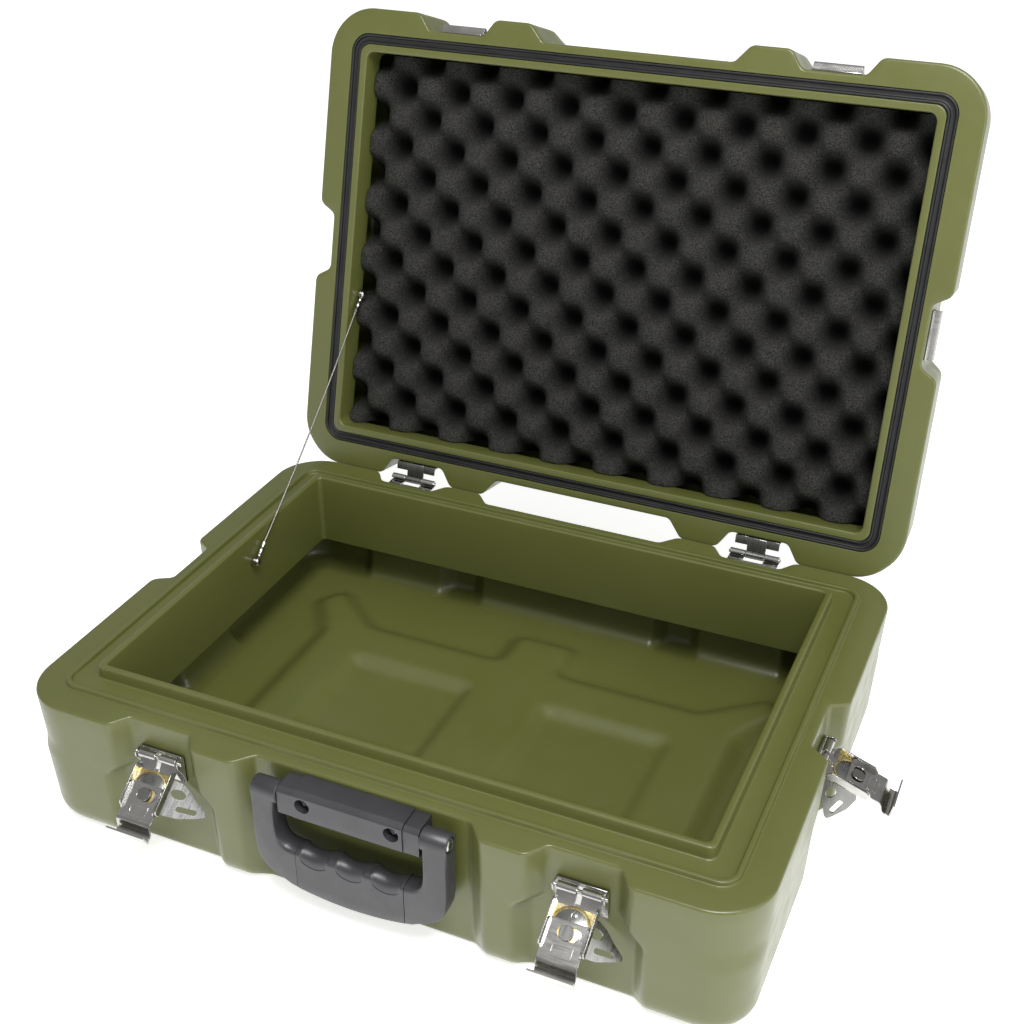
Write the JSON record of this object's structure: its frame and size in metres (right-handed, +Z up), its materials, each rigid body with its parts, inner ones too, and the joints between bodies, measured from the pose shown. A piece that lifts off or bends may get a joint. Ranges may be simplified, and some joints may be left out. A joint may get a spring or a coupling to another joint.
{
  "type": "hard equipment case",
  "caption": "Olive hard case, open: moulded base and hinged lid with gasket, egg-crate foam, rotary draw latches, swinging carry handle and a stay cable.",
  "frame": {"origin": "centre of the base's underside, on the surface that the case stands on", "axes": "+X along the case's length to the right of someone facing the handle, -Y out of the handle side, +Z up"},
  "size_m": [0.6367, 0.6044, 0.4965],
  "materials": {
    "olive_shell": "satin rotomoulded polyethylene",
    "gasket": "black extruded rubber",
    "foam": "charcoal open-cell foam",
    "black_plastic": "satin moulded plastic",
    "stainless": "bright stainless sheet",
    "zinc": "yellow zinc plate",
    "fastener": "bright plated",
    "wire_rope": "stainless wire rope"
  },
  "bodies": {
    "base": {"base_shell": "olive_shell", "stay_cable": "wire_rope", "stay_ferrule_base": "stainless", "stay_screw_base": "fastener", "handle_bracket": "black_plastic", "handle_mounting_screw_left": "fastener", "handle_pivot_screw_left": "fastener", "hinge_left_base_leaf": "stainless", "hinge_left_pin": "fastener", "hinge_left_base_rivet_1": "fastener", "hinge_left_base_rivet_2": "fastener", "handle_mounting_screw_right": "fastener", "handle_pivot_screw_right": "fastener", "hinge_right_base_leaf": "stainless", "hinge_right_pin": "fastener", "hinge_right_base_rivet_1": "fastener", "hinge_right_base_rivet_2": "fastener", "latch_front_left_bracket": "stainless", "latch_front_left_pin": "fastener", "latch_front_right_bracket": "stainless", "latch_front_right_pin": "fastener", "latch_right_bracket": "stainless", "latch_right_pin": "fastener", "latch_left_bracket": "stainless", "latch_left_pin": "fastener"},
    "lid": {"lid_shell": "olive_shell", "lid_gasket": "gasket", "lid_foam": "foam", "stay_ferrule_lid": "stainless", "stay_screw_lid": "fastener", "hinge_left_lid_leaf": "stainless", "hinge_left_lid_rivet_1": "fastener", "hinge_left_lid_rivet_2": "fastener", "hinge_right_lid_leaf": "stainless", "hinge_right_lid_rivet_1": "fastener", "hinge_right_lid_rivet_2": "fastener", "latch_front_left_strike": "stainless", "latch_front_right_strike": "stainless", "latch_right_strike": "stainless", "latch_left_strike": "stainless"},
    "handle": {"handle_arm_left": "black_plastic", "handle_arm_right": "black_plastic", "handle_grip": "black_plastic"},
    "latch_front_left_link": {"latch_front_left_link": "zinc"},
    "latch_front_left_arm": {"latch_front_left_hook_arm": "stainless"},
    "latch_front_left_cam": {"latch_front_left_cam": "stainless"},
    "latch_front_left_wing": {"latch_front_left_wing": "stainless"},
    "latch_front_right_link": {"latch_front_right_link": "zinc"},
    "latch_front_right_arm": {"latch_front_right_hook_arm": "stainless"},
    "latch_front_right_cam": {"latch_front_right_cam": "stainless"},
    "latch_front_right_wing": {"latch_front_right_wing": "stainless"},
    "latch_right_link": {"latch_right_link": "zinc"},
    "latch_right_arm": {"latch_right_hook_arm": "stainless"},
    "latch_right_cam": {"latch_right_cam": "stainless"},
    "latch_right_wing": {"latch_right_wing": "stainless"},
    "latch_left_link": {"latch_left_link": "zinc"},
    "latch_left_arm": {"latch_left_hook_arm": "stainless"},
    "latch_left_cam": {"latch_left_cam": "stainless"},
    "latch_left_wing": {"latch_left_wing": "stainless"}
  },
  "joints": [
    {"name": "lid_hinge", "type": "hinge", "parent": "base", "child": "lid", "pos_m": [0, 0.1998, 0.1126], "axis": [1, 0, 0], "range_deg": [0, 105.2], "deforming": ["stay_cable"]},
    {"name": "handle_swing", "type": "hinge", "parent": "base", "child": "handle", "pos_m": [0, -0.1993, 0.1036], "axis": [-1, 0, 0], "range_deg": [0, 100]},
    {"name": "latch_front_left_swing", "type": "hinge", "parent": "base", "child": "latch_front_left_link", "pos_m": [-0.158, -0.19125, 0.0906], "axis": [-1, 0, 0], "range_deg": [0, 126.5]},
    {"name": "latch_front_left_turn", "type": "hinge", "parent": "latch_front_left_link", "child": "latch_front_left_cam", "pos_m": [-0.158, -0.20626, 0.0739], "axis": [0, 0.5948, -0.8039], "range_deg": [0, 180]},
    {"name": "latch_front_left_pull", "type": "slide", "parent": "latch_front_left_link", "child": "latch_front_left_arm", "axis": [0, -0.8039, -0.5948], "range_m": [-0.00905, 0]},
    {"name": "latch_front_left_fold", "type": "hinge", "parent": "latch_front_left_cam", "child": "latch_front_left_wing", "pos_m": [-0.158, -0.20322, 0.0698], "axis": [0, 0.8039, 0.5948], "range_deg": [-35, 8]},
    {"name": "latch_front_right_swing", "type": "hinge", "parent": "base", "child": "latch_front_right_link", "pos_m": [0.158, -0.19125, 0.0906], "axis": [-1, 0, 0], "range_deg": [0, 121.4]},
    {"name": "latch_front_right_turn", "type": "hinge", "parent": "latch_front_right_link", "child": "latch_front_right_cam", "pos_m": [0.158, -0.20768, 0.0753], "axis": [0, 0.521, -0.8536], "range_deg": [0, 180]},
    {"name": "latch_front_right_pull", "type": "slide", "parent": "latch_front_right_link", "child": "latch_front_right_arm", "axis": [0, -0.8536, -0.521], "range_m": [-0.00905, 0]},
    {"name": "latch_front_right_fold", "type": "hinge", "parent": "latch_front_right_cam", "child": "latch_front_right_wing", "pos_m": [0.158, -0.20503, 0.07094], "axis": [0, 0.8536, 0.521], "range_deg": [-43, 18]},
    {"name": "latch_right_swing", "type": "hinge", "parent": "base", "child": "latch_right_link", "pos_m": [0.267, 0, 0.0906], "axis": [0, -1, 0], "range_deg": [0, 110]},
    {"name": "latch_right_turn", "type": "hinge", "parent": "latch_right_link", "child": "latch_right_cam", "pos_m": [0.28613, 0, 0.07885], "axis": [-0.342, 0, -0.9397], "range_deg": [0, 180]},
    {"name": "latch_right_pull", "type": "slide", "parent": "latch_right_link", "child": "latch_right_arm", "axis": [0.9397, 0, -0.342], "range_m": [-0.00905, 0]},
    {"name": "latch_right_fold", "type": "hinge", "parent": "latch_right_cam", "child": "latch_right_wing", "pos_m": [0.28439, 0, 0.07405], "axis": [-0.9397, 0, 0.342], "range_deg": [-88, 2]},
    {"name": "latch_left_swing", "type": "hinge", "parent": "base", "child": "latch_left_link", "pos_m": [-0.267, 0, 0.0906], "axis": [0, 1, 0], "range_deg": [0, 122]},
    {"name": "latch_left_turn", "type": "hinge", "parent": "latch_left_link", "child": "latch_left_cam", "pos_m": [-0.28327, 0, 0.07513], "axis": [0.5299, 0, -0.848], "range_deg": [0, 180]},
    {"name": "latch_left_pull", "type": "slide", "parent": "latch_left_link", "child": "latch_left_arm", "axis": [-0.848, 0, -0.5299], "range_m": [-0.00905, 0]},
    {"name": "latch_left_fold", "type": "hinge", "parent": "latch_left_cam", "child": "latch_left_wing", "pos_m": [-0.28057, 0, 0.0708], "axis": [0.848, 0, 0.5299], "range_deg": [-35, 22]}
  ],
  "couplings": [
    {"joint": "latch_front_left_pull", "follows": "latch_front_left_turn", "m_per_rad": -0.0028648},
    {"joint": "latch_front_right_pull", "follows": "latch_front_right_turn", "m_per_rad": -0.0028648},
    {"joint": "latch_right_pull", "follows": "latch_right_turn", "m_per_rad": -0.0028648},
    {"joint": "latch_left_pull", "follows": "latch_left_turn", "m_per_rad": -0.0028648}
  ]
}
